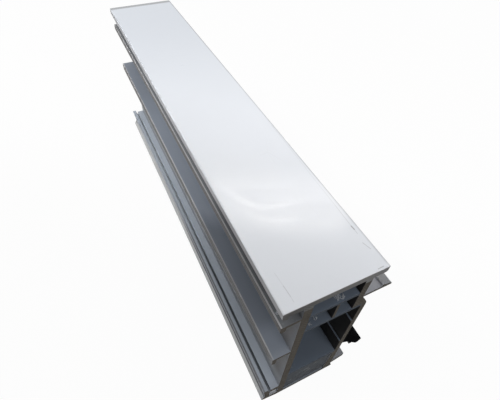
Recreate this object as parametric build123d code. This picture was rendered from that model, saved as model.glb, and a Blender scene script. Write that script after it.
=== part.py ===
from build123d import *
import os

# Window extension profile: a grey multi-chamber extrusion with its white face up, standing on its
# narrow base, with a grey foam insert in its lowest chamber and a black sealing gasket along its
# right side.
# X runs across the section, Y along the cut length and Z up from the base. Sizes are in millimetres.
# The section is drawn from the left edge of the white face and centred afterwards.

# Overall sizes
length = 200.0
section_depth = 82.3
face_width = 34.7

# Walls and webs
face_wall = 3.0
base_wall = 2.1
left_wall = 2.9
upper_right_wall = 2.5
right_wall = 2.1
low_right_wall = 3.6
low_right_wall_top = 2.6
upper_web = 1.2
middle_web = 1.3
floor_web = 1.3
divider = 1.0

# Places of the walls across the section
left_wall_x = 7.0
upper_right_x = 29.9
right_x = 33.4
base_right_x = 34.7
divider_x = 19.7

# Clear heights of the chambers, from the face down
top_chamber = 7.2
middle_chamber = 8.9
main_chamber = 39.1
chamber_round = 0.4

# Sloped shoulder between the upper and the lower right wall
shoulder_start = 14.6
shoulder_drop = 6.0
shoulder_round = 6.0

# Lip under the left edge of the face, a little set back from it, and the rounded right edge
face_lip = 1.6
face_lip_set = 0.4
face_lip_drop = 1.4
face_edge_round = 0.9
face_corner_round = 0.4

# Left flanges, each with a lip turned down
flange_wall = 1.3
flange_tip_x = 0.4
upper_flange_level = 9.0
upper_flange_lip = 1.9
upper_flange_lip_drop = 2.3
lower_flange_level = 33.6
lower_flange_lip = 1.6
lower_flange_lip_drop = 3.3
flange_round = 0.3

# Upper right flange with a raised outer bead
overlap_reach = 11.0
overlap_wall = 1.3
overlap_bead = 4.0
overlap_bead_rise = 1.0

# Lower right flange, rising towards its tip
foot_level = 4.3
foot_reach = 5.6
foot_wall = 2.4
foot_rise = 2.4

# Lower left hook: a sloping toe, a lip that leans out over it, a narrow groove and a small chamber
toe_lift = 2.1
toe_edge = 0.6
crease_x = 1.3
crease_height = 5.4
lip_x = 0.2
lip_top = 2.1
lip_rise = 1.2
hook_height = 11.4
hook_groove = 1.5
hook_groove_width = 1.1
hook_chamber_wall = 1.9
hook_chamber_height = 5.2
hook_chamber_level = 3.3
hook_round = 0.3

# Guide ribs on the inner side of the right wall
rib_height = 0.6
rib_width = 0.8
rib_levels = (33.0, 51.0)

# Gasket: a base strip on the right wall and a lip that droops from it
gasket_level = 43.0
gasket_base_height = 12.2
gasket_base = 1.8
gasket_reach = 12.0
gasket_droop = 11.5
gasket_root = 5.9
gasket_chin = 2.2
gasket_chin_reach = 3.0
gasket_tip = 1.8
gasket_tip_rise = 3.0
gasket_tip_round = 0.8
gasket_bead = 1.1
gasket_bead_place = 0.38

# Foam insert in the lowest chamber, with its gaps to the walls and to the two cut ends
insert_gap = 0.3
insert_side_gap = 0.35
insert_recess = 0.5


def box(x0, x1, z0, z1):
    """A rectangle of the section between two places in X and two levels in Z."""
    return Pos((x0 + x1) / 2, (z0 + z1) / 2) * Rectangle(x1 - x0, z1 - z0)


def chamber(x0, x1, z0, z1):
    """A chamber of the section, with its corners rounded as the melt leaves them."""
    hollow = RectangleRounded(x1 - x0, z1 - z0, chamber_round)
    return Pos((x0 + x1) / 2, (z0 + z1) / 2) * hollow


def lip_down(x0, width, z_top, z_low):
    """A lip that hangs from z_top to z_low and ends in a half round."""
    radius = width / 2
    return box(x0, x0 + width, z_low + radius, z_top) + Pos(x0 + radius, z_low + radius) * Circle(radius)


def outline(*points):
    return make_face(Polyline(*points, close=True))


def nearest_corner(sketch, x, z):
    return sketch.vertices().sort_by_distance((x, z, 0))[0]


# Levels in Z, counted down from the face
top_chamber_top = section_depth - face_wall
top_chamber_low = top_chamber_top - top_chamber
middle_chamber_top = top_chamber_low - upper_web
middle_chamber_low = middle_chamber_top - middle_chamber
main_chamber_top = middle_chamber_low - middle_web
main_chamber_low = main_chamber_top - main_chamber
low_chamber_top = main_chamber_low - floor_web

# Inner faces of the walls
inner_left = left_wall_x + left_wall
inner_upper_right = upper_right_x - upper_right_wall
inner_right = right_x - right_wall
inner_low_right = right_x - low_right_wall
inner_low_right_top = right_x - low_right_wall_top


def make_core():
    """The box of the profile: its outer walls with the sloped shoulder, without the flanges."""
    shoulder_top = section_depth - shoulder_start
    shoulder_low = shoulder_top - shoulder_drop
    core = outline(
        (left_wall_x, 0),
        (base_right_x, 0),
        (right_x, foot_level),
        (right_x, shoulder_low),
        (upper_right_x, shoulder_top),
        (upper_right_x, section_depth),
        (left_wall_x, section_depth),
    )
    return fillet(nearest_corner(core, right_x, shoulder_low), shoulder_round)


def low_chamber_outline(gap, side_gap):
    """The lowest chamber, or what fits in it with a gap all round and another at its right side."""
    return outline(
        (inner_left + gap, base_wall + gap),
        (inner_low_right - side_gap, base_wall + gap),
        (inner_low_right_top - side_gap, low_chamber_top - gap),
        (inner_left + gap, low_chamber_top - gap),
    )


def make_chambers():
    """Every hollow of the box, from the face down to the base."""
    lowest = low_chamber_outline(0, 0)
    return (
        chamber(inner_left, inner_upper_right, top_chamber_low, top_chamber_top)
        + chamber(inner_left, divider_x, middle_chamber_low, middle_chamber_top)
        + chamber(divider_x + divider, inner_upper_right, middle_chamber_low, middle_chamber_top)
        + chamber(inner_left, inner_right, main_chamber_low, main_chamber_top)
        + fillet(lowest.vertices(), chamber_round)
    )


def make_face_plate():
    """The plate that carries the white face and overhangs the box on both sides."""
    plate = box(0, face_width, top_chamber_top, section_depth)
    plate = fillet(nearest_corner(plate, face_width, top_chamber_top), face_edge_round)
    lip = lip_down(face_lip_set, face_lip, section_depth - face_wall / 2, top_chamber_top - face_lip_drop)
    plate += lip
    return fillet(nearest_corner(plate, 0, section_depth), face_corner_round)


def make_left_flange(level, lip_width, lip_drop):
    """A flange on the left wall, at a level below the face, with its lip turned down."""
    z_top = section_depth - level
    flange = box(flange_tip_x, left_wall_x, z_top - flange_wall, z_top)
    flange += lip_down(flange_tip_x, lip_width, z_top - flange_wall / 2, z_top - flange_wall - lip_drop)
    return fillet(nearest_corner(flange, flange_tip_x, z_top), flange_round)


def make_overlap():
    """The upper right flange. Its outer bead is raised and falls away to the tip."""
    z_low = section_depth - shoulder_start
    z_top = z_low + overlap_wall
    tip_x = upper_right_x + overlap_reach
    bead_x = tip_x - overlap_bead
    return outline(
        (upper_right_x, z_low),
        (tip_x, z_low),
        (tip_x, z_low + overlap_wall / 2),
        (tip_x - overlap_wall / 2, z_top),
        (bead_x, z_top + overlap_bead_rise),
        (bead_x, z_top),
        (upper_right_x, z_top),
    )


def make_foot():
    """The lower right flange, which rises towards its tip."""
    tip_x = right_x + foot_reach
    return outline(
        (right_x, foot_level),
        (tip_x, foot_level + foot_rise),
        (tip_x, foot_level + foot_rise + foot_wall),
        (right_x, foot_level + foot_wall),
    )


def make_hook():
    """The lower left hook, with the sloping toe, the leaning lip and the groove behind it."""
    lip_height = hook_height + lip_rise
    lip_inner = lip_x + lip_top
    groove_end = lip_inner + hook_groove_width
    groove_low = hook_height - hook_groove
    hook = outline(
        (left_wall_x, 0),
        (0, toe_lift),
        (0, toe_lift + toe_edge),
        (crease_x, crease_height),
        (lip_x, lip_height),
        (lip_inner, lip_height),
        (lip_inner, groove_low),
        (groove_end, groove_low),
        (groove_end, hook_height),
        (left_wall_x, hook_height),
    )
    for x, z in ((lip_x, lip_height), (lip_inner, lip_height), (groove_end, hook_height)):
        hook = fillet(nearest_corner(hook, x, z), hook_round)
    return hook


def make_hook_chamber():
    return chamber(
        crease_x + hook_chamber_wall,
        left_wall_x,
        hook_chamber_level,
        hook_chamber_level + hook_chamber_height,
    )


def make_ribs():
    """Two low guide ribs along the inner side of the right wall."""
    ribs = [
        box(inner_right - rib_height, inner_right, section_depth - level - rib_width / 2,
            section_depth - level + rib_width / 2)
        for level in rib_levels
    ]
    return ribs[0] + ribs[1]


def make_section():
    """The whole section of the extrusion."""
    section = make_core() + make_face_plate() + make_overlap() + make_foot() + make_hook()
    section += make_left_flange(upper_flange_level, upper_flange_lip, upper_flange_lip_drop)
    section += make_left_flange(lower_flange_level, lower_flange_lip, lower_flange_lip_drop)
    return section - make_chambers() - make_hook_chamber() + make_ribs()


def make_gasket_section():
    """The gasket: a base strip against the right wall, and a drooping lip with a bead under it."""
    z_top = section_depth - gasket_level
    z_low = z_top - gasket_base_height
    tip_x = right_x + gasket_reach
    tip_z = z_low - gasket_droop
    chin = Vector(right_x + gasket_chin_reach, z_low - gasket_chin)
    tip_low = Vector(tip_x - gasket_tip, tip_z)
    strip = box(right_x, right_x + gasket_base, z_low, z_top)
    lip = outline(
        (right_x, z_low),
        (chin.X, chin.Y),
        (tip_low.X, tip_low.Y),
        (tip_x, tip_z + gasket_tip_rise),
        (right_x + gasket_base, z_low + gasket_root),
        (right_x, z_low + gasket_root),
    )
    lip = fillet(lip.vertices().sort_by(Axis.X)[-2:], gasket_tip_round)
    place = chin + (tip_low - chin) * gasket_bead_place
    bead = Pos(place.X, place.Y) * Circle(gasket_bead)
    return strip + lip + bead


def run_along(section, run):
    """Extrude a section along Y, centred on the middle of the cut length."""
    return extrude(Plane.XZ * section, amount=run / 2, both=True)


profile = run_along(make_section(), length)
gasket = run_along(make_gasket_section(), length)
insert = run_along(low_chamber_outline(insert_gap, insert_side_gap), length - 2 * insert_recess)

# The origin is under the middle of the whole part, at the level of its base.
box_of_all = Compound([profile, gasket, insert]).bounding_box()
centre_x = (box_of_all.min.X + box_of_all.max.X) / 2

os.makedirs("parts", exist_ok=True)
for name, solid in (("profile", profile), ("gasket", gasket), ("insert", insert)):
    export_step(Pos(-centre_x, 0, 0) * solid, f"parts/{name}.step")
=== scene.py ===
import math
import random

import bmesh
import bpy
from mathutils import Matrix, Vector


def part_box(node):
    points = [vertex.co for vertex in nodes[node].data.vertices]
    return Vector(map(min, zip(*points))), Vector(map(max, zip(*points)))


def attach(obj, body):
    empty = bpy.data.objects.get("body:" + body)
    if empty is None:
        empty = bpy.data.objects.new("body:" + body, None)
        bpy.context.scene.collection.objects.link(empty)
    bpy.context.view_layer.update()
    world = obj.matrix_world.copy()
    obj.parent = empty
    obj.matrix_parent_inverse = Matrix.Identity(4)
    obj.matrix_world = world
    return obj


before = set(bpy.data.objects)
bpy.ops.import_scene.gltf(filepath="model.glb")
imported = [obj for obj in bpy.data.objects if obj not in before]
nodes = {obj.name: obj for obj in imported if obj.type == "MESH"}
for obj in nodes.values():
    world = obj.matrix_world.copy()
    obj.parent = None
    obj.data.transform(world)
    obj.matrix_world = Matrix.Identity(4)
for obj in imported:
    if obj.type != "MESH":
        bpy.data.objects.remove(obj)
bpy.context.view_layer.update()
scene = bpy.context.scene
scene.view_settings.view_transform = "Standard"

# A cut length of window extension profile. X runs across the section, Y along the cut length, away
# from the near end, and Z up to the white face. Places, levels and sizes are in metres.
profile_low, profile_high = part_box("profile")
left_x = profile_low.x
near_y = profile_low.y
far_y = profile_high.y
face_z = profile_high.z

# The hollow of the box. Above the shoulder its right wall stands further in.
hollow_left = left_x + 0.0098
hollow_right_below = left_x + 0.0314
hollow_right_above = left_x + 0.0277
shoulder_levels = (0.0612, 0.0616)
hollow_levels = (0.0203, face_z - 0.0029)

# The three webs across the hollow, from the lowest up: levels, and the place of the right end
webs = (
    ((0.0202, 0.0217), left_x + 0.0313),
    ((0.0606, 0.0621), left_x + 0.0313),
    ((0.0708, 0.0722), left_x + 0.0274),
)

# The plate under the face, the painted shadow line along its left side, and the rims of the face,
# darkened as painted shade
plate_low = face_z - 0.0045
shadow_line_levels = (face_z - 0.0044, face_z - 0.0030)
skin_depth = 0.0004
face_right = left_x + 0.0347
right_rim = (face_right - 0.0008, face_right)
right_rim_growth = (-0.02, 0.06)
right_rim_near_share = 0.6
far_rim = (far_y - 0.0034, far_y - 0.0018)

# The left side: what stands out past the left wall, the wall itself with the levels over which the
# painted floor light on its low part fades, and the tips of the two flanges, which get a painted
# highlight
left_part_end = left_x + 0.0069
outer_edge_end = left_x + 0.0009
wall_places = (left_part_end, left_x + 0.0072)
wall_light_levels = (0.0150, 0.0240)
upper_part_low = 0.0600
flange_sides_low = 0.0203
flange_levels = (face_z - 0.0090, face_z - 0.0336)
tip_drop = 0.0005

# The hook: its toe, the crease over the toe and the edge of its lip, which get painted shade, and the
# groove behind that, painted dark as shade near the cut
hook_high = 0.0128
toe_high = 0.0054
toe_edge_high = 0.0028
crease_levels = (0.0045, 0.0066)
lip_edge_levels = (0.0116, hook_high)
groove_places = (left_x + 0.0022, left_x + 0.0035)
groove_levels = (0.0097, hook_high)

# The right side, and the raised bead of its upper flange with the step beside it, which is painted paler
# against the shade that falls on it
right_part_start = left_x + 0.0298
right_levels = (0.0042, face_z - 0.0031)
bead_start = left_x + 0.0368
bead_levels = (0.0677, 0.0702)
step_levels = (0.0688, 0.0702)

# Along the length: where the painted shade of the crease and the groove gives way to paler tones, and
# where face and toe turn greyer, a painted falloff of the light towards the far end
crease_fade = (-0.030, 0.020)
crease_far_share = 0.2
groove_fade = (-0.050, 0.010)
far_fade = (-0.045, 0.085)

# The slanted edge of the painted shadow over the near left part: its slant and place, where the painted
# light behind it rises and fades again, and where the painted shade before it ends and starts
shade_slope_x = 1.143
shade_slope_z = 0.672
shade_edge = -0.0271
lit_rise = (shade_edge - 0.003, shade_edge + 0.006)
lit_fade = (0.025, 0.075)
lit_far_share = 0.3
dim_fall = (shade_edge - 0.008, shade_edge)
dim_start = (-0.092, -0.086)

# The worn strip beside the near cut
wear_reach = 0.0056
wear_unevenness = 0.0026
wear_patch_scale = 420.0

# From where a surface counts as sawn across, as level, and as facing left, by its normal
sawn_limits = (0.8, 0.95)
level_limits = (0.35, 0.7)
facing_left_limits = (-0.9, -0.7)


# Node helpers

def new_group(name, inputs, outputs):
    """A shader node group with named inputs and outputs; returns the tree and its two end nodes."""
    tree = bpy.data.node_groups.new(name, "ShaderNodeTree")
    for label, kind, value in inputs:
        socket = tree.interface.new_socket(label, in_out="INPUT", socket_type=kind)
        if value is not None:
            socket.default_value = value
    for label, kind in outputs:
        tree.interface.new_socket(label, in_out="OUTPUT", socket_type=kind)
    start = tree.nodes.new("NodeGroupInput")
    end = tree.nodes.new("NodeGroupOutput")
    return tree, start, end


def set_input(tree, socket, value):
    """Feed a socket from another socket, or give it a fixed value."""
    if isinstance(value, bpy.types.NodeSocket):
        tree.links.new(value, socket)
    else:
        socket.default_value = value


def math_node(tree, operation, a, b=0.0, c=None, clamp=False):
    node = tree.nodes.new("ShaderNodeMath")
    node.operation = operation
    node.use_clamp = clamp
    set_input(tree, node.inputs[0], a)
    set_input(tree, node.inputs[1], b)
    if c is not None:
        set_input(tree, node.inputs[2], c)
    return node.outputs[0]


def times(tree, a, b):
    return math_node(tree, "MULTIPLY", a, b)


def plus(tree, a, b):
    return math_node(tree, "ADD", a, b)


def minus(tree, a, b, clamp=False):
    return math_node(tree, "SUBTRACT", a, b, clamp=clamp)


def larger(tree, a, b):
    return math_node(tree, "MAXIMUM", a, b)


def scaled_plus(tree, value, factor, offset):
    """The value times the factor, plus the offset."""
    return math_node(tree, "MULTIPLY_ADD", value, factor, offset)


def over(tree, value, limit):
    """1 above a limit, 0 below it."""
    return math_node(tree, "GREATER_THAN", value, limit)


def under(tree, value, limit):
    """1 below a limit, 0 above it."""
    return math_node(tree, "LESS_THAN", value, limit)


def within(tree, value, limits):
    """1 between two limits, 0 outside them."""
    low, high = limits
    return times(tree, over(tree, value, low), under(tree, value, high))


def ramp(tree, value, limits, ends=(0.0, 1.0)):
    """A smooth step of a value between two limits, from one end value to the other."""
    node = tree.nodes.new("ShaderNodeMapRange")
    node.interpolation_type = "SMOOTHSTEP"
    set_input(tree, node.inputs["Value"], value)
    for label, number in zip(("From Min", "From Max", "To Min", "To Max"), (*limits, *ends)):
        set_input(tree, node.inputs[label], number)
    return node.outputs["Result"]


def falling(tree, value, limits):
    """A smooth step down: 1 below two limits, 0 above them."""
    return ramp(tree, value, limits, (1.0, 0.0))


def mix_color(tree, factor, a, b, blend="MIX"):
    node = tree.nodes.new("ShaderNodeMix")
    node.data_type = "RGBA"
    node.blend_type = blend
    set_input(tree, node.inputs[0], factor)
    set_input(tree, node.inputs[6], a)
    set_input(tree, node.inputs[7], b)
    return node.outputs[2]


def mix_value(tree, factor, a, b):
    node = tree.nodes.new("ShaderNodeMix")
    node.data_type = "FLOAT"
    set_input(tree, node.inputs[0], factor)
    set_input(tree, node.inputs[2], a)
    set_input(tree, node.inputs[3], b)
    return node.outputs[0]


def vector_node(tree, operation, a, b=None):
    """A vector node; gives a number where the operation has one as its result."""
    node = tree.nodes.new("ShaderNodeVectorMath")
    node.operation = operation
    set_input(tree, node.inputs[0], a)
    if b is not None:
        set_input(tree, node.inputs["Scale" if operation == "SCALE" else 1], b)
    gives_number = operation in ("DOT_PRODUCT", "DISTANCE", "LENGTH")
    return node.outputs["Value" if gives_number else "Vector"]


def separate(tree, vector):
    """The three parts of a vector."""
    node = tree.nodes.new("ShaderNodeSeparateXYZ")
    tree.links.new(vector, node.inputs[0])
    return node.outputs["X"], node.outputs["Y"], node.outputs["Z"]


def noise(tree, vector, scale, detail=2.0, roughness=0.5, distortion=0.0):
    node = tree.nodes.new("ShaderNodeTexNoise")
    tree.links.new(vector, node.inputs["Vector"])
    set_input(tree, node.inputs["Scale"], scale)
    node.inputs["Detail"].default_value = detail
    node.inputs["Roughness"].default_value = roughness
    node.inputs["Distortion"].default_value = distortion
    return node.outputs[0]


def cells(tree, vector, scale, feature="F1", dimensions="3D"):
    """A cell pattern; returns its node, for the distance and the colour of each cell."""
    node = tree.nodes.new("ShaderNodeTexVoronoi")
    node.voronoi_dimensions = dimensions
    node.feature = feature
    tree.links.new(vector, node.inputs["Vector"])
    node.inputs["Scale"].default_value = scale
    return node


def stretched(tree, vector, scale, turn=(0.0, 0.0, 0.0)):
    """The coordinates, turned and stretched by a factor along each axis."""
    node = tree.nodes.new("ShaderNodeMapping")
    tree.links.new(vector, node.inputs["Vector"])
    node.inputs["Rotation"].default_value = turn
    node.inputs["Scale"].default_value = scale
    return node.outputs["Vector"]


def feed_position(tree, group, position):
    """Place a group and feed it the position on the object."""
    node = tree.nodes.new("ShaderNodeGroup")
    node.node_tree = group
    tree.links.new(position, node.inputs["Position"])
    return node


# Shared effects

def make_place_masks():
    """Where a point lies on the extrusion: on a sawn end, and on the white skin of the face."""
    wavy_scale = 900.0
    least_depth_share = 0.9
    wavy_depth_share = 0.2
    tree, start, end = new_group(
        "place_masks",
        [("Position", "NodeSocketVector", None), ("Normal", "NodeSocketVector", None),
         ("Face Level", "NodeSocketFloat", face_z), ("Skin", "NodeSocketFloat", skin_depth)],
        [("Sawn", "NodeSocketFloat"), ("White", "NodeSocketFloat")],
    )
    z = separate(tree, start.outputs["Position"])[2]
    normal_y = separate(tree, start.outputs["Normal"])[1]
    across = math_node(tree, "ABSOLUTE", normal_y)
    set_input(tree, end.inputs["Sawn"], ramp(tree, across, sawn_limits))
    depth = minus(tree, start.outputs["Face Level"], z)
    wavy = noise(tree, start.outputs["Position"], wavy_scale)
    share = scaled_plus(tree, wavy, wavy_depth_share, least_depth_share)
    edge = times(tree, start.outputs["Skin"], share)
    set_input(tree, end.inputs["White"], under(tree, depth, edge))
    return tree


zone_labels = (
    "Inside", "Hollow Floor Light", "Hook", "Toe", "Wall", "Wall Floor Light", "Upper", "Side Shade", "Tip Highlight", "Crease Shade", "Foot",
    "Groove", "Far Groove", "Right", "Bead", "Step Light", "Plate", "Webs", "Line", "Wear", "Across", "Far",
    "Rim Shade", "Lit", "Dim",
)


def make_zones():
    """Where a point lies in the section and along it, one mask for each part with a tone of its own; many
    of the masks carry painted light and shade.
    """
    tree, start, end = new_group(
        "zones",
        [("Position", "NodeSocketVector", None), ("Normal", "NodeSocketVector", None)],
        [(label, "NodeSocketFloat") for label in zone_labels],
    )
    x, y, z = separate(tree, start.outputs["Position"])
    normal_x, _, normal_z = separate(tree, start.outputs["Normal"])

    def both(a, b):
        return times(tree, a, b)

    def put(label, mask):
        set_input(tree, end.inputs[label], mask)

    hollow_end = ramp(tree, z, shoulder_levels, (hollow_right_below, hollow_right_above))
    across = both(over(tree, x, hollow_left), under(tree, x, hollow_end))
    hollow = both(across, within(tree, z, hollow_levels))
    # Painted shade on the hollow's walls, and paler bluish painted light on its floors
    put("Inside", hollow)
    put("Hollow Floor Light", both(hollow, ramp(tree, normal_z, level_limits)))
    cut_webs = [both(within(tree, x, (hollow_left, web_right)), within(tree, z, levels))
                for levels, web_right in webs]
    put("Webs", plus(tree, plus(tree, cut_webs[0], cut_webs[1]), cut_webs[2]))

    left = under(tree, x, left_part_end)
    outer = under(tree, x, outer_edge_end)
    faces_left = falling(tree, normal_x, facing_left_limits)
    # The upper left part, under the plate, gets painted shade
    put("Upper", both(left, over(tree, z, upper_part_low)))
    # The left wall's outer side gets painted shade, its low part paler painted light from the floor
    wall = both(within(tree, x, wall_places), faces_left)
    put("Wall", wall)
    put("Wall Floor Light", both(wall, falling(tree, z, wall_light_levels)))
    # Painted shade on the left-facing sides of the flanges
    side = both(outer, faces_left)
    put("Side Shade", both(side, within(tree, z, (flange_sides_low, plate_low))))
    # Painted highlight along the tips of the flanges
    tips = [both(outer, within(tree, z, (level - tip_drop, level + tip_drop))) for level in flange_levels]
    put("Tip Highlight", both(plus(tree, *tips), minus(tree, 1.0, faces_left)))

    put("Hook", both(left, under(tree, z, hook_high)))
    put("Toe", both(left, under(tree, z, toe_high)))
    put("Foot", both(outer, under(tree, z, toe_edge_high)))
    # Painted shade in the crease over the toe and on the lip's edge, paler towards the far end
    shaded = both(left, within(tree, z, crease_levels))
    lip_edge = both(outer, within(tree, z, lip_edge_levels))
    crease_share = ramp(tree, y, crease_fade, (1.0, crease_far_share))
    put("Crease Shade", both(larger(tree, shaded, lip_edge), crease_share))
    # Painted shade in the groove near the cut, and paler painted light in it further on
    slit = both(within(tree, x, groove_places), within(tree, z, groove_levels))
    put("Groove", both(slit, falling(tree, y, groove_fade)))
    put("Far Groove", both(slit, ramp(tree, y, groove_fade)))

    put("Right", both(over(tree, x, right_part_start), within(tree, z, right_levels)))
    bead = both(over(tree, x, bead_start), within(tree, z, bead_levels))
    put("Bead", bead)
    # The step painted paler against the shade that falls on it
    put("Step Light", both(both(bead, faces_left), within(tree, z, step_levels)))

    put("Plate", over(tree, z, plate_low))
    # Painted shadow line along the plate's left side
    put("Line", both(left, within(tree, z, shadow_line_levels)))
    # Rims of the face, darkened as painted shade
    rim_share = ramp(tree, y, right_rim_growth, (right_rim_near_share, 1.0))
    past_right = both(ramp(tree, x, right_rim), rim_share)
    put("Rim Shade", larger(tree, past_right, ramp(tree, y, far_rim)))
    put("Across", ramp(tree, x, (left_x, face_right)))
    # Painted falloff of the light towards the far end, for the face and the toe
    put("Far", ramp(tree, y, far_fade))

    # Painted light behind the slanted shadow edge, and painted shade before it
    slanted = scaled_plus(tree, x, shade_slope_x, scaled_plus(tree, z, shade_slope_z, y))
    left_side = both(under(tree, x, wall_places[1]), within(tree, z, (hook_high, face_z)))
    lit = both(ramp(tree, slanted, lit_rise), ramp(tree, y, lit_fade, (1.0, lit_far_share)))
    dim = both(falling(tree, slanted, dim_fall), ramp(tree, y, dim_start))
    put("Lit", both(left_side, lit))
    put("Dim", both(left_side, dim))

    from_end = minus(tree, y, near_y)
    patches = noise(tree, start.outputs["Position"], wear_patch_scale, detail=3.0)
    uneven = times(tree, patches, wear_unevenness)
    put("Wear", falling(tree, plus(tree, from_end, uneven), (0.0, wear_reach)))
    return tree


def make_die_lines():
    """Fine lines along the extrusion direction, as the die leaves them."""
    fine_scale = 1400.0
    wide_scale = 260.0
    long_stretch = 0.012
    tree, start, end = new_group(
        "die_lines",
        [("Position", "NodeSocketVector", None), ("Scale", "NodeSocketFloat", 1.0)],
        [("Height", "NodeSocketFloat"), ("Tone", "NodeSocketFloat")],
    )
    along = stretched(tree, start.outputs["Position"], (1.0, long_stretch, 1.0))
    scale = start.outputs["Scale"]
    set_input(tree, end.inputs["Height"], noise(tree, along, times(tree, scale, fine_scale)))
    set_input(tree, end.inputs["Tone"], noise(tree, along, times(tree, scale, wide_scale), detail=3.0))
    return tree


def make_saw_marks():
    """Curved marks of a saw blade across a cut end, with a fine torn grain."""
    across_section = (1.0, 0.0, 1.0)
    wobble_scale = 60.0
    wobble_reach = 0.0012
    patch_scale = 240.0
    patch_limits = (0.35, 0.7)
    grain_scale = 2600.0
    mark_height = 0.35
    mark_tone = 0.3
    tree, start, end = new_group(
        "saw_marks",
        [("Position", "NodeSocketVector", None), ("Centre", "NodeSocketVector", (-0.16, 0.0, -0.06)),
         ("Pitch", "NodeSocketFloat", 0.0009)],
        [("Height", "NodeSocketFloat"), ("Tone", "NodeSocketFloat")],
    )
    position = start.outputs["Position"]
    offset = vector_node(tree, "SUBTRACT", position, start.outputs["Centre"])
    flat = vector_node(tree, "MULTIPLY", offset, across_section)
    reach = vector_node(tree, "LENGTH", flat)
    shifted = scaled_plus(tree, noise(tree, position, wobble_scale), wobble_reach, reach)
    turns = math_node(tree, "DIVIDE", shifted, start.outputs["Pitch"])
    wave = math_node(tree, "SINE", times(tree, turns, math.tau))
    uneven = noise(tree, position, patch_scale, detail=3.0)
    marks = times(tree, wave, ramp(tree, uneven, patch_limits))
    grain = noise(tree, position, grain_scale, roughness=0.7)
    set_input(tree, end.inputs["Height"], scaled_plus(tree, marks, mark_height, grain))
    set_input(tree, end.inputs["Tone"], scaled_plus(tree, marks, mark_tone, uneven))
    return tree


def make_scratches():
    """Sparse thin scratches in two directions, broken up so that only a few show."""
    line_scale = 34.0
    line_stretch = (1.0, 0.5, 1.0)
    line_limits = (0.0, 0.004)
    patch_scale = 42.0
    patch_limits = (0.56, 0.66)
    turns_and_offsets = ((0.5, 0.02), (-0.9, 0.07))
    tree, start, end = new_group(
        "scratches",
        [("Position", "NodeSocketVector", None), ("Amount", "NodeSocketFloat", 0.5)],
        [("Mask", "NodeSocketFloat")],
    )
    masks = []
    for turn, offset in turns_and_offsets:
        moved = vector_node(tree, "ADD", start.outputs["Position"], (offset, offset, offset))
        lines = stretched(tree, moved, line_stretch, (0.0, 0.0, turn))
        crease = cells(tree, lines, line_scale, "DISTANCE_TO_EDGE", "2D")
        thin = falling(tree, crease.outputs["Distance"], line_limits)
        patch = noise(tree, moved, patch_scale)
        masks.append(times(tree, thin, ramp(tree, patch, patch_limits)))
    mask = times(tree, larger(tree, *masks), start.outputs["Amount"])
    set_input(tree, end.inputs["Mask"], mask)
    return tree


def make_thin_line():
    """A thin mark on the face between two places, broken up a little."""
    patch_scale = 900.0
    patch_limits = (0.25, 0.5)
    weakest = 0.35
    tree, start, end = new_group(
        "thin_line",
        [("Position", "NodeSocketVector", None), ("Start", "NodeSocketVector", (0.0, 0.0, 0.0)),
         ("End", "NodeSocketVector", (0.0, 0.01, 0.0)), ("Width", "NodeSocketFloat", 0.0002)],
        [("Mask", "NodeSocketFloat")],
    )
    position = start.outputs["Position"]
    reach = vector_node(tree, "SUBTRACT", start.outputs["End"], start.outputs["Start"])
    offset = vector_node(tree, "SUBTRACT", position, start.outputs["Start"])
    along_reach = vector_node(tree, "DOT_PRODUCT", offset, reach)
    whole_reach = vector_node(tree, "DOT_PRODUCT", reach, reach)
    share = math_node(tree, "DIVIDE", along_reach, whole_reach, clamp=True)
    nearest = vector_node(tree, "SCALE", reach, share)
    gap = vector_node(tree, "DISTANCE", offset, nearest)
    line = falling(tree, gap, (0.0, start.outputs["Width"]))
    broken = ramp(tree, noise(tree, position, patch_scale), patch_limits, (weakest, 1.0))
    set_input(tree, end.inputs["Mask"], times(tree, line, broken))
    return tree


def make_polish():
    """Uneven gloss: long soft waves across the face, only in one band along its length."""
    slant = 0.4
    stretch = 0.45
    wave_scale = 190.0
    wave_limits = (0.38, 0.62)
    weakest = 0.5
    full_share = 0.4
    tree, start, end = new_group(
        "polish",
        [("Position", "NodeSocketVector", None), ("Middle", "NodeSocketFloat", -0.070),
         ("Reach", "NodeSocketFloat", 0.020)],
        [("Gloss", "NodeSocketFloat")],
    )
    x, y, _ = separate(tree, start.outputs["Position"])
    slanted = scaled_plus(tree, x, slant, y)
    waves = tree.nodes.new("ShaderNodeCombineXYZ")
    set_input(tree, waves.inputs[0], times(tree, x, stretch))
    set_input(tree, waves.inputs[1], slanted)
    pattern = noise(tree, waves.outputs[0], wave_scale, distortion=1.6)
    streaks = ramp(tree, pattern, wave_limits, (weakest, 1.0))
    away = math_node(tree, "ABSOLUTE", minus(tree, slanted, start.outputs["Middle"]))
    full_reach = times(tree, start.outputs["Reach"], full_share)
    band = falling(tree, away, (full_reach, start.outputs["Reach"]))
    set_input(tree, end.inputs["Gloss"], times(tree, streaks, band))
    return tree


def make_dust():
    """Fine specks of saw dust, and soft smudges."""
    speck_scale = 620.0
    speck_limits = (0.12, 0.3)
    patch_scale = 85.0
    patch_limits = (0.5, 0.7)
    smudge_scale = 26.0
    tree, start, end = new_group(
        "dust",
        [("Position", "NodeSocketVector", None), ("Amount", "NodeSocketFloat", 0.5)],
        [("Specks", "NodeSocketFloat"), ("Smudge", "NodeSocketFloat")],
    )
    position = start.outputs["Position"]
    spots = cells(tree, position, speck_scale)
    spot = falling(tree, spots.outputs["Distance"], speck_limits)
    where = ramp(tree, noise(tree, position, patch_scale, detail=3.0), patch_limits)
    specks = times(tree, times(tree, spot, where), start.outputs["Amount"])
    set_input(tree, end.inputs["Specks"], specks)
    smudge = noise(tree, position, smudge_scale, detail=4.0, roughness=0.6, distortion=0.4)
    set_input(tree, end.inputs["Smudge"], smudge)
    return tree


place_masks = make_place_masks()
zones = make_zones()
die_lines = make_die_lines()
saw_marks = make_saw_marks()
scratches = make_scratches()
dust = make_dust()
thin_line = make_thin_line()
polish = make_polish()


# Materials

# The plain grey of the extrusion, between the darker and the paler die lines
grey_dark = (0.212, 0.232, 0.266, 1.0)
grey_pale = (0.245, 0.268, 0.306, 1.0)
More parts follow.
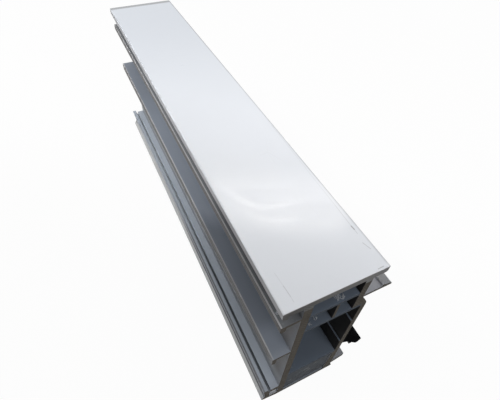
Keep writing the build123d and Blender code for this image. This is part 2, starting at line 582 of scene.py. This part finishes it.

# Tones of the parts of the section that differ from the plain grey, many of them painted light and shade.
# Later ones lie over earlier ones.
zone_tones = (
    # Painted shade on the left wall's outer side, and paler painted floor light on its low part
    ("Wall", (0.205, 0.200, 0.200, 1.0)),
    ("Wall Floor Light", (0.36, 0.37, 0.38, 1.0)),
    # Painted shade on the upper left part under the plate
    ("Upper", (0.184, 0.188, 0.194, 1.0)),
    # Painted shade on the left-facing flange sides
    ("Side Shade", (0.086, 0.083, 0.081, 1.0)),
    # Painted highlight along the flange tips
    ("Tip Highlight", (0.47, 0.46, 0.46, 1.0)),
    ("Plate", (0.42, 0.42, 0.43, 1.0)),
    ("Hook", (0.43, 0.465, 0.51, 1.0)),
    ("Toe", (0.70, 0.70, 0.685, 1.0)),
    # Painted shade in the crease and on the lip's edge
    ("Crease Shade", (0.21, 0.21, 0.22, 1.0)),
    ("Foot", (0.33, 0.33, 0.33, 1.0)),
    # Painted shade in the groove near the cut, and paler painted light in it further on
    ("Groove", (0.20, 0.21, 0.225, 1.0)),
    ("Far Groove", (0.62, 0.65, 0.68, 1.0)),
    ("Right", (0.49, 0.485, 0.50, 1.0)),
    ("Bead", (0.37, 0.365, 0.36, 1.0)),
    # The step painted paler against the shade that falls on it
    ("Step Light", (0.72, 0.72, 0.74, 1.0)),
    # Painted shadow line along the plate's left side
    ("Line", (0.06, 0.06, 0.065, 1.0)),
    # Painted shade on the hollow's walls, and paler bluish painted light on its floors
    ("Inside", (0.032, 0.031, 0.030, 1.0)),
    ("Hollow Floor Light", (0.175, 0.205, 0.250, 1.0)),
)
# Painted falloff of the light on the toe towards the far end
far_toe_shade_share = (0.8, 0.8, 0.8, 1.0)
# Painted light behind the slanted shadow edge, and painted shade before it
lit_share = (1.2, 1.2, 1.2, 1.0)
dim_share = (0.82, 0.82, 0.82, 1.0)

# Wear, smudges and specks on the grey, with how much of each shows
worn_tone = (0.33, 0.35, 0.385, 1.0)
worn_strength = 0.6
smudge_tone = (0.26, 0.26, 0.265, 1.0)
smudge_limits = (0.55, 0.8)
smudge_strength = 0.2
speck_tone = (0.36, 0.36, 0.36, 1.0)
speck_strength = 0.5

# The sawn ends: the walls, the webs, and the plate from its left edge to its right one
cut_dark = (0.083, 0.073, 0.060, 1.0)
cut_pale = (0.116, 0.103, 0.086, 1.0)
cut_limits = (0.2, 0.8)
web_cut_tone = (0.080, 0.093, 0.112, 1.0)
plate_cut_left = (0.125, 0.122, 0.118, 1.0)
plate_cut_right = (0.28, 0.275, 0.27, 1.0)
plate_mark_tone = (0.32, 0.315, 0.31, 1.0)
plate_mark_limits = (0.4, 0.8)
plate_mark_strength = 0.25

# The white skin of the face, its smudges, scratches, its painted falloff towards the far end, and its
# rims darkened as painted shade
skin_tone = (0.78, 0.79, 0.81, 1.0)
skin_smudge_tone = (0.75, 0.755, 0.765, 1.0)
skin_smudge_limits = (0.45, 0.75)
skin_smudge_strength = 0.35
# Painted falloff of the light on the face towards the far end
far_skin_shade_tone = (0.64, 0.66, 0.69, 1.0)
fine_scratch_tone = (0.6, 0.6, 0.6, 1.0)
fine_scratch_strength = 0.5
scratch_tone = (0.3, 0.29, 0.28, 1.0)
# Painted shade on the rims of the face
rim_shade_tone = (0.33, 0.33, 0.33, 1.0)
rim_shade_strength = 0.85
cut_skin_tone = (0.5, 0.49, 0.48, 1.0)

# Scratches that show on the face: start, end, half width and strength
face_scratches = (
    ((-0.0189, -0.0885), (-0.0186, -0.0929), 0.00022, 0.15),
    ((-0.0186, -0.0929), (-0.0184, -0.0962), 0.00022, 0.36),
    ((-0.0184, -0.0962), (-0.0184, -0.0981), 0.00020, 0.25),
    ((0.0114, -0.0300), (0.0106, -0.0745), 0.00018, 0.22),
    ((0.0106, -0.0745), (0.0103, -0.0842), 0.00018, 0.35),
    ((0.0103, -0.0838), (0.0104, -0.0852), 0.00034, 0.9),
    ((0.0104, -0.0852), (0.0103, -0.0869), 0.00018, 0.4),
    ((0.0097, -0.0903), (0.0105, -0.0930), 0.00022, 0.5),
    ((0.0082, -0.0993), (0.0102, -0.0992), 0.00022, 0.6),
)

# Wiped arcs on the face that shine more: start, end, half width and strength
face_smears = (
    ((-0.0189, -0.0525), (-0.0158, -0.0610), 0.0032, 0.7),
    ((-0.0158, -0.0610), (-0.0125, -0.0658), 0.0028, 1.0),
    ((-0.0125, -0.0658), (-0.0065, -0.0678), 0.0026, 1.0),
    ((-0.0065, -0.0678), (0.0020, -0.0676), 0.0032, 0.9),
    ((-0.0150, -0.0680), (-0.0112, -0.0727), 0.0026, 1.0),
    ((-0.0112, -0.0727), (-0.0045, -0.0742), 0.0030, 1.0),
)

# Gloss of the face: everywhere, and added where it is polished or wiped
gloss_everywhere = 0.12
gloss_added = 0.8
polish_strength = 0.5

# How rough the surfaces are: the least, what the pattern adds, and what the saw adds
grey_roughness = 0.3
grey_roughness_lines = 0.12
face_roughness = 0.24
face_roughness_smudge = 0.1
saw_roughness = 0.35

# Heights of the die lines on the grey and on the face, and of the fine scratches
line_height = 0.08
line_height_lost_on_face = -0.07
scratch_height = -0.1


def new_material(name):
    """A material with a Principled shader; returns it, its tree, its shader and the position to feed."""
    material = bpy.data.materials.new(name)
    material.use_nodes = True
    tree = material.node_tree
    tree.nodes.clear()
    output = tree.nodes.new("ShaderNodeOutputMaterial")
    shader = tree.nodes.new("ShaderNodeBsdfPrincipled")
    tree.links.new(shader.outputs[0], output.inputs["Surface"])
    coordinates = tree.nodes.new("ShaderNodeTexCoord")
    return material, tree, shader, coordinates.outputs["Object"]


def bump(tree, shader, height, strength, distance):
    node = tree.nodes.new("ShaderNodeBump")
    node.inputs["Strength"].default_value = strength
    node.inputs["Distance"].default_value = distance
    tree.links.new(height, node.inputs["Height"])
    tree.links.new(node.outputs[0], shader.inputs["Normal"])


def face_line(tree, position, first, last, width, strength):
    """The mask of one thin mark on the face."""
    line = feed_position(tree, thin_line, position)
    line.inputs["Start"].default_value = (*first, face_z)
    line.inputs["End"].default_value = (*last, face_z)
    line.inputs["Width"].default_value = width
    return times(tree, line.outputs["Mask"], strength)


def grey_color(tree, zone, lines, specks):
    """The grey of the extrusion, with the tones of its parts, painted light and shade, wear, smudges and
    specks.
    """
    color = mix_color(tree, lines.outputs["Tone"], grey_dark, grey_pale)
    for label, tone in zone_tones:
        color = mix_color(tree, zone.outputs[label], color, tone)
    # Painted falloff of the light on the far toe
    far_toe = times(tree, zone.outputs["Toe"], zone.outputs["Far"])
    color = mix_color(tree, far_toe, color, far_toe_shade_share, "MULTIPLY")
    # Painted light behind and painted shade before the slanted shadow edge
    color = mix_color(tree, zone.outputs["Lit"], color, lit_share, "MULTIPLY")
    color = mix_color(tree, zone.outputs["Dim"], color, dim_share, "MULTIPLY")
    unworn = larger(tree, zone.outputs["Upper"], zone.outputs["Inside"])
    worn = times(tree, zone.outputs["Wear"], minus(tree, worn_strength, unworn, clamp=True))
    color = mix_color(tree, worn, color, worn_tone)
    smudged = ramp(tree, specks.outputs["Smudge"], smudge_limits, (0.0, smudge_strength))
    color = mix_color(tree, smudged, color, smudge_tone)
    return mix_color(tree, times(tree, specks.outputs["Specks"], speck_strength), color, speck_tone)


def cut_color(tree, zone, saw):
    """The colour of the sawn ends: brownish walls, bluish webs and a paler plate."""
    color = mix_color(tree, ramp(tree, saw.outputs["Tone"], cut_limits), cut_dark, cut_pale)
    color = mix_color(tree, zone.outputs["Webs"], color, web_cut_tone)
    plate = mix_color(tree, zone.outputs["Across"], plate_cut_left, plate_cut_right)
    marked = ramp(tree, saw.outputs["Tone"], plate_mark_limits, (0.0, plate_mark_strength))
    plate = mix_color(tree, marked, plate, plate_mark_tone)
    return mix_color(tree, zone.outputs["Plate"], color, plate)


def skin_color(tree, zone, specks, marks, sawn, position):
    """The white of the face, with its smudges, scratches, a painted falloff of the light towards the far
    end, and rims darkened as painted shade.
    """
    smudged = ramp(tree, specks.outputs["Smudge"], skin_smudge_limits, (0.0, skin_smudge_strength))
    color = mix_color(tree, smudged, skin_tone, skin_smudge_tone)
    # Painted falloff of the light towards the far end
    color = mix_color(tree, zone.outputs["Far"], color, far_skin_shade_tone)
    fine = times(tree, marks.outputs["Mask"], fine_scratch_strength)
    color = mix_color(tree, fine, color, fine_scratch_tone)
    for scratch in face_scratches:
        color = mix_color(tree, face_line(tree, position, *scratch), color, scratch_tone)
    # Rims darkened as painted shade
    color = mix_color(tree, times(tree, zone.outputs["Rim Shade"], rim_shade_strength), color, rim_shade_tone)
    return mix_color(tree, sawn, color, cut_skin_tone)


def make_profile_material():
    """Satin grey plastic with a glossy white face and brownish sawn ends."""
    material, tree, shader, position = new_material("extruded_profile")
    geometry = tree.nodes.new("ShaderNodeNewGeometry")
    masks = feed_position(tree, place_masks, position)
    zone = feed_position(tree, zones, position)
    for group in (masks, zone):
        tree.links.new(geometry.outputs["True Normal"], group.inputs["Normal"])
    sawn = masks.outputs["Sawn"]
    white = masks.outputs["White"]
    lines = feed_position(tree, die_lines, position)
    saw = feed_position(tree, saw_marks, position)
    marks = feed_position(tree, scratches, position)
    specks = feed_position(tree, dust, position)

    body = mix_color(tree, sawn, grey_color(tree, zone, lines, specks), cut_color(tree, zone, saw))
    skin = skin_color(tree, zone, specks, marks, sawn, position)
    tree.links.new(mix_color(tree, white, body, skin), shader.inputs["Base Color"])

    rough = scaled_plus(tree, lines.outputs["Tone"], grey_roughness_lines, grey_roughness)
    rough = scaled_plus(tree, sawn, saw_roughness, rough)
    glossy = scaled_plus(tree, specks.outputs["Smudge"], face_roughness_smudge, face_roughness)
    glossy = scaled_plus(tree, sawn, saw_roughness, glossy)
    tree.links.new(mix_value(tree, white, rough, glossy), shader.inputs["Roughness"])

    height = times(tree, saw.outputs["Height"], sawn)
    lined = scaled_plus(tree, white, line_height_lost_on_face, line_height)
    height = scaled_plus(tree, lines.outputs["Height"], lined, height)
    height = scaled_plus(tree, marks.outputs["Mask"], scratch_height, height)
    bump(tree, shader, height, strength=0.5, distance=0.00008)

    gloss = times(tree, feed_position(tree, polish, position).outputs["Gloss"], polish_strength)
    for smear in face_smears:
        gloss = larger(tree, gloss, face_line(tree, position, *smear))
    face_only = times(tree, white, minus(tree, 1.0, sawn))
    coat = times(tree, face_only, scaled_plus(tree, gloss, gloss_added, gloss_everywhere))
    tree.links.new(coat, shader.inputs["Coat Weight"])
    shader.inputs["Coat Roughness"].default_value = 0.1
    shader.inputs["IOR"].default_value = 1.5
    shader.inputs["Specular IOR Level"].default_value = 0.04
    return material


def make_rubber_material():
    """Dull black rubber with fine die lines and a little dust."""
    line_dark = (0.005, 0.005, 0.0055, 1.0)
    line_pale = (0.011, 0.011, 0.012, 1.0)
    dust_tone = (0.09, 0.09, 0.09, 1.0)
    dust_strength = 0.25
    least_roughness = 0.75
    smudge_roughness = 0.2
    material, tree, shader, position = new_material("gasket_rubber")
    lines = feed_position(tree, die_lines, position)
    specks = feed_position(tree, dust, position)
    color = mix_color(tree, lines.outputs["Tone"], line_dark, line_pale)
    color = mix_color(tree, times(tree, specks.outputs["Specks"], dust_strength), color, dust_tone)
    tree.links.new(color, shader.inputs["Base Color"])
    rough = scaled_plus(tree, specks.outputs["Smudge"], smudge_roughness, least_roughness)
    tree.links.new(rough, shader.inputs["Roughness"])
    bump(tree, shader, lines.outputs["Height"], strength=0.35, distance=0.00008)
    shader.inputs["IOR"].default_value = 1.45
    shader.inputs["Specular IOR Level"].default_value = 0.0
    return material


def make_foam_material():
    """Cut bead foam: cells about 2 mm wide, with dark gaps between some and a few paler ones."""
    bead_scale = 430.0
    bead_dark = (0.060, 0.067, 0.076, 1.0)
    bead_pale = (0.082, 0.091, 0.101, 1.0)
    paler_tone = (0.3, 0.3, 0.3, 1.0)
    paler_limits = (0.93, 0.97)
    paler_strength = 0.3
    pit_tone = (0.03, 0.032, 0.035, 1.0)
    pit_strength = 0.7
    gap_limits = (0.02, 0.12)
    patch_scale = 160.0
    patch_limits = (0.5, 0.62)
    grain_scale = 2000.0
    pit_height = -1.0
    material, tree, shader, position = new_material("foam_insert")
    beads = cells(tree, position, bead_scale)
    edges = cells(tree, position, bead_scale, "DISTANCE_TO_EDGE")
    each = tree.nodes.new("ShaderNodeSeparateColor")
    tree.links.new(beads.outputs["Color"], each.inputs[0])
    color = mix_color(tree, each.outputs[0], bead_dark, bead_pale)
    paler = times(tree, ramp(tree, each.outputs[1], paler_limits), paler_strength)
    color = mix_color(tree, paler, color, paler_tone)
    gap = falling(tree, edges.outputs["Distance"], gap_limits)
    pit = times(tree, gap, ramp(tree, noise(tree, position, patch_scale), patch_limits))
    color = mix_color(tree, times(tree, pit, pit_strength), color, pit_tone)
    tree.links.new(color, shader.inputs["Base Color"])
    shader.inputs["Roughness"].default_value = 0.85
    shader.inputs["Specular IOR Level"].default_value = 0.2
    height = scaled_plus(tree, pit, pit_height, noise(tree, position, grain_scale, detail=3.0))
    bump(tree, shader, height, strength=0.6, distance=0.0002)
    return material


def make_chip_material():
    """Pale torn plastic, for the chips and the sawdust."""
    dark_tone = (0.36, 0.38, 0.41, 1.0)
    pale_tone = (0.60, 0.62, 0.65, 1.0)
    dirt_tone = (0.4, 0.4, 0.41, 1.0)
    dirt_strength = 0.3
    grain_scale = 900.0
    material, tree, shader, position = new_material("pale_chips")
    specks = feed_position(tree, dust, position)
    grain = noise(tree, position, grain_scale, detail=3.0)
    color = mix_color(tree, grain, dark_tone, pale_tone)
    color = mix_color(tree, times(tree, specks.outputs["Smudge"], dirt_strength), color, dirt_tone)
    tree.links.new(color, shader.inputs["Base Color"])
    shader.inputs["Roughness"].default_value = 0.6
    bump(tree, shader, grain, strength=0.6, distance=0.0001)
    return material


def dress(node, material):
    """Give a CAD node its material."""
    slots = nodes[node].material_slots
    for slot in slots:
        slot.material = material
    if not slots:
        nodes[node].data.materials.append(material)


dress("profile", make_profile_material())
dress("gasket", make_rubber_material())
dress("insert", make_foam_material())


# Sawdust and chips at the near cut

# Heaps of chips: place, spread, count and length of a chip
chip_heaps = (
    (-0.0020, -0.0988, 0.0721, 0.0011, 16, 0.0016),
    (-0.0006, -0.0992, 0.0721, 0.0006, 9, 0.0012),
    (-0.0074, -0.0983, 0.0620, 0.0005, 5, 0.0010),
    (-0.0100, -0.0990, 0.0620, 0.0005, 5, 0.0009),
    (-0.0213, -0.0960, 0.0733, 0.0002, 4, 0.0012),
)
heap_depth_share = 0.6
chip_headings = (0.3, 2.6)
chip_length_shares = (0.6, 1.2)
chip_curls = (0.5, 1.6)
chip_width = 0.00019
chip_thickness = 0.00006
chip_rings = 7
chip_tip_share = 0.25

# The plug of packed sawdust: its two corners, how lumpy its front is, and how its rim sinks in
plug_low = Vector((left_x + 0.00323, near_y + 0.0003, 0.00333))
plug_high = Vector((left_x + 0.00697, near_y + 0.004, 0.00847))
plug_lump = 0.00025
plug_rim = 0.15
plug_rim_sink = 1.5
plug_columns = 13
plug_rows = 17


def add_chip(mesh, place, heading, length, curl):
    """One thin sliver, tapered to both ends, that lies on a level and curls up from it."""
    upright = Vector((0, 0, 1))
    along = Vector((math.cos(heading), math.sin(heading), 0.0))
    side = Vector((-along.y, along.x, 0.0))
    corners = ((-1, -1), (1, -1), (1, 1), (-1, 1))
    radius = length / curl
    rings = []
    for ring in range(chip_rings):
        share = ring / (chip_rings - 1)
        turn = curl * share
        rise = radius * (1 - math.cos(turn)) + chip_thickness / 2
        spine = place + along * radius * math.sin(turn) + Vector((0, 0, rise))
        outward = upright * math.cos(turn) - along * math.sin(turn)
        taper = chip_tip_share + (1 - chip_tip_share) * math.sin(math.pi * share)
        half = side * chip_width / 2 * taper
        thick = outward * chip_thickness / 2
        rings.append([mesh.verts.new(spine + a * half + b * thick) for a, b in corners])
    for ring, after in zip(rings, rings[1:]):
        for k in range(4):
            mesh.faces.new((ring[k], ring[(k + 1) % 4], after[(k + 1) % 4], after[k]))
    mesh.faces.new(rings[0][::-1])
    mesh.faces.new(rings[-1])


def finish_piece(name, mesh, material):
    """Turn a built mesh into a piece that rides on the profile."""
    bmesh.ops.recalc_face_normals(mesh, faces=mesh.faces)
    data = bpy.data.meshes.new(name)
    mesh.to_mesh(data)
    mesh.free()
    piece = bpy.data.objects.new(name, data)
    scene.collection.objects.link(piece)
    data.materials.append(material)
    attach(piece, "root")


def make_chips(material):
    """Loose slivers where the photo shows them: on two chamber floors and on the upper left flange."""
    rand = random.Random(4)
    mesh = bmesh.new()
    for x, y, z, spread, count, size in chip_heaps:
        for _ in range(count):
            chip_x = x + rand.uniform(-spread, spread)
            chip_y = y + rand.uniform(-spread, spread) * heap_depth_share
            heading = rand.uniform(*chip_headings)
            length = size * rand.uniform(*chip_length_shares)
            curl = rand.uniform(*chip_curls)
            add_chip(mesh, Vector((chip_x, chip_y, z)), heading, length, curl)
    finish_piece("saw_chips", mesh, material)


def make_plug(material):
    """Packed sawdust in the near mouth of the hook's small chamber, with a lumpy front."""
    rand = random.Random(9)
    mesh = bmesh.new()
    last_column = plug_columns - 1
    last_row = plug_rows - 1
    front = []
    back = []
    for i in range(plug_columns):
        for j in range(plug_rows):
            u = i / last_column
            v = j / last_row
            x = plug_low.x + (plug_high.x - plug_low.x) * u
            z = plug_low.z + (plug_high.z - plug_low.z) * v
            edge = min(u, 1 - u, v, 1 - v)
            sink = plug_rim_sink * max(0.0, plug_rim - edge) / plug_rim
            y = plug_low.y + plug_lump * (rand.random() + sink)
            front.append(mesh.verts.new((x, y, z)))
            back.append(mesh.verts.new((x, plug_high.y, z)))
    for sheet in (front, back):
        for i in range(last_column):
            for j in range(last_row):
                a = i * plug_rows + j
                mesh.faces.new((sheet[a], sheet[a + plug_rows], sheet[a + plug_rows + 1], sheet[a + 1]))
    bottom = [i * plug_rows for i in range(plug_columns)]
    right_edge = [last_column * plug_rows + j for j in range(1, plug_rows)]
    top = [i * plug_rows + last_row for i in range(last_column - 1, -1, -1)]
    left_edge = list(range(last_row - 1, 0, -1))
    rim = bottom + right_edge + top + left_edge
    for a, b in zip(rim, rim[1:] + rim[:1]):
        mesh.faces.new((front[a], front[b], back[b], back[a]))
    finish_piece("packed_sawdust", mesh, material)


chip_material = make_chip_material()
make_chips(chip_material)
make_plug(chip_material)


# Camera at the photo's viewing angle, with its three axes and its place as fitted to the photo

camera_data = bpy.data.cameras.new("camera")
camera_data.sensor_fit = "HORIZONTAL"
camera_data.sensor_width = 36.0
camera_data.lens = 27.10
camera_data.shift_x = 0.00612
camera_data.shift_y = -0.00908
camera_data.clip_start = 0.005
camera = bpy.data.objects.new("camera", camera_data)
scene.collection.objects.link(camera)
camera_right = Vector((0.90010, -0.43384, 0.03998))
camera_up = Vector((0.29798, 0.67997, 0.66996))
camera_back = -Vector((0.31784, 0.59112, -0.74132))
camera_place = Matrix((camera_right, camera_up, camera_back)).transposed().to_4x4()
camera_place.translation = Vector((-0.05201, -0.13151, 0.17235))
camera.matrix_world = camera_place
scene.camera = camera


# Floor and world: they show as plain white, while the floor keeps the object's shadow

floor_reach = 6.0
floor_tone = (0.75, 0.735, 0.715, 1.0)
floor_white_share = 0.96
sky_tone = (0.8, 0.9, 1.0, 1.0)
sky_strength = 0.02
background_white = (1.0, 1.0, 1.0, 1.0)
background_strength = 1.0


def background_rays(tree):
    """The rays that see the white background: from the camera, and by glossy or clear surfaces."""
    path = tree.nodes.new("ShaderNodeLightPath")
    seen = larger(tree, path.outputs["Is Camera Ray"], path.outputs["Is Glossy Ray"])
    return larger(tree, seen, path.outputs["Is Transmission Ray"])


def show_white(tree, output, plain, shown, share):
    """Put white light over a plain shader, for the rays that see the background."""
    shown.inputs["Color"].default_value = background_white
    shown.inputs["Strength"].default_value = background_strength
    mix = tree.nodes.new("ShaderNodeMixShader")
    tree.links.new(share, mix.inputs[0])
    tree.links.new(plain.outputs[0], mix.inputs[1])
    tree.links.new(shown.outputs[0], mix.inputs[2])
    tree.links.new(mix.outputs[0], output.inputs["Surface"])


def make_floor():
    reach = floor_reach
    corners = [(-reach, -reach, 0), (reach, -reach, 0), (reach, reach, 0), (-reach, reach, 0)]
    mesh = bpy.data.meshes.new("floor")
    mesh.from_pydata(corners, [], [(0, 1, 2, 3)])
    floor = bpy.data.objects.new("floor", mesh)
    scene.collection.objects.link(floor)
    material = bpy.data.materials.new("floor")
    material.use_nodes = True
    tree = material.node_tree
    tree.nodes.clear()
    output = tree.nodes.new("ShaderNodeOutputMaterial")
    plain = tree.nodes.new("ShaderNodeBsdfDiffuse")
    plain.inputs["Color"].default_value = floor_tone
    shown = tree.nodes.new("ShaderNodeEmission")
    show_white(tree, output, plain, shown, times(tree, background_rays(tree), floor_white_share))
    mesh.materials.append(material)


def make_world():
    world = bpy.data.worlds.new("studio")
    scene.world = world
    world.use_nodes = True
    tree = world.node_tree
    tree.nodes.clear()
    output = tree.nodes.new("ShaderNodeOutputWorld")
    plain = tree.nodes.new("ShaderNodeBackground")
    plain.inputs["Color"].default_value = sky_tone
    plain.inputs["Strength"].default_value = sky_strength
    shown = tree.nodes.new("ShaderNodeBackground")
    show_white(tree, output, plain, shown, background_rays(tree))


# Lamps: name, place, target, size, power and colour

middle = (0.0, 0.0, 0.05)
near_face = (-0.004, -0.068, face_z)
studio = (0.98, 1.0, 1.03)
warm = (1.04, 0.99, 0.94)
soft_lamps = (
    ("overhead", (0.0, 0.05, 1.2), middle, (0.75, 0.75), 1.5, studio),
    ("back_right", (0.46, 0.60, 0.98), near_face, (0.5, 0.24), 1.8, warm),
    ("left_high", (-0.7, 0.2, 1.0), middle, (0.8, 0.8), 4.4, studio),
    ("front_high", (0.0, -0.75, 1.0), middle, (0.7, 0.7), 4.1, studio),
    ("right", (0.6, 0.0, 0.6), middle, (0.5, 0.5), 1.1, studio),
)

# The wide spot on the left, and a point on the slanted edge of its light
spot_place = Vector((-0.45, 0.0505, 0.65))
spot_edge_point = Vector((-0.0191, -0.038, 0.0487))
spot_half_cone = math.radians(80.3)
spot_blend = 0.015
spot_radius = 0.04
spot_power = 9.6


def add_lamp(name, place, target, size, power, color):
    data = bpy.data.lights.new(name, "AREA")
    data.shape = "RECTANGLE"
    data.size, data.size_y = size
    data.energy = power
    data.color = color
    lamp = bpy.data.objects.new(name, data)
    lamp.location = place
    lamp.rotation_euler = (Vector(target) - Vector(place)).to_track_quat("-Z", "Y").to_euler()
    scene.collection.objects.link(lamp)


def add_far_light():
    """A wide spot from the left that leaves out the near left part, as the light in the photo does."""
    across_edge = Vector((shade_slope_x, 1.0, shade_slope_z)).normalized()
    to_edge = (spot_edge_point - spot_place).normalized()
    axis = to_edge * math.cos(spot_half_cone) + across_edge * math.sin(spot_half_cone)
    data = bpy.data.lights.new("far_light", "SPOT")
    data.spot_size = 2 * spot_half_cone
    data.spot_blend = spot_blend
    data.shadow_soft_size = spot_radius
    data.energy = spot_power
    data.color = studio
    lamp = bpy.data.objects.new("far_light", data)
    lamp.location = spot_place
    lamp.rotation_euler = axis.to_track_quat("-Z", "Y").to_euler()
    lamp.visible_glossy = False
    scene.collection.objects.link(lamp)


make_floor()
make_world()
for lamp_row in soft_lamps:
    add_lamp(*lamp_row)
add_far_light()
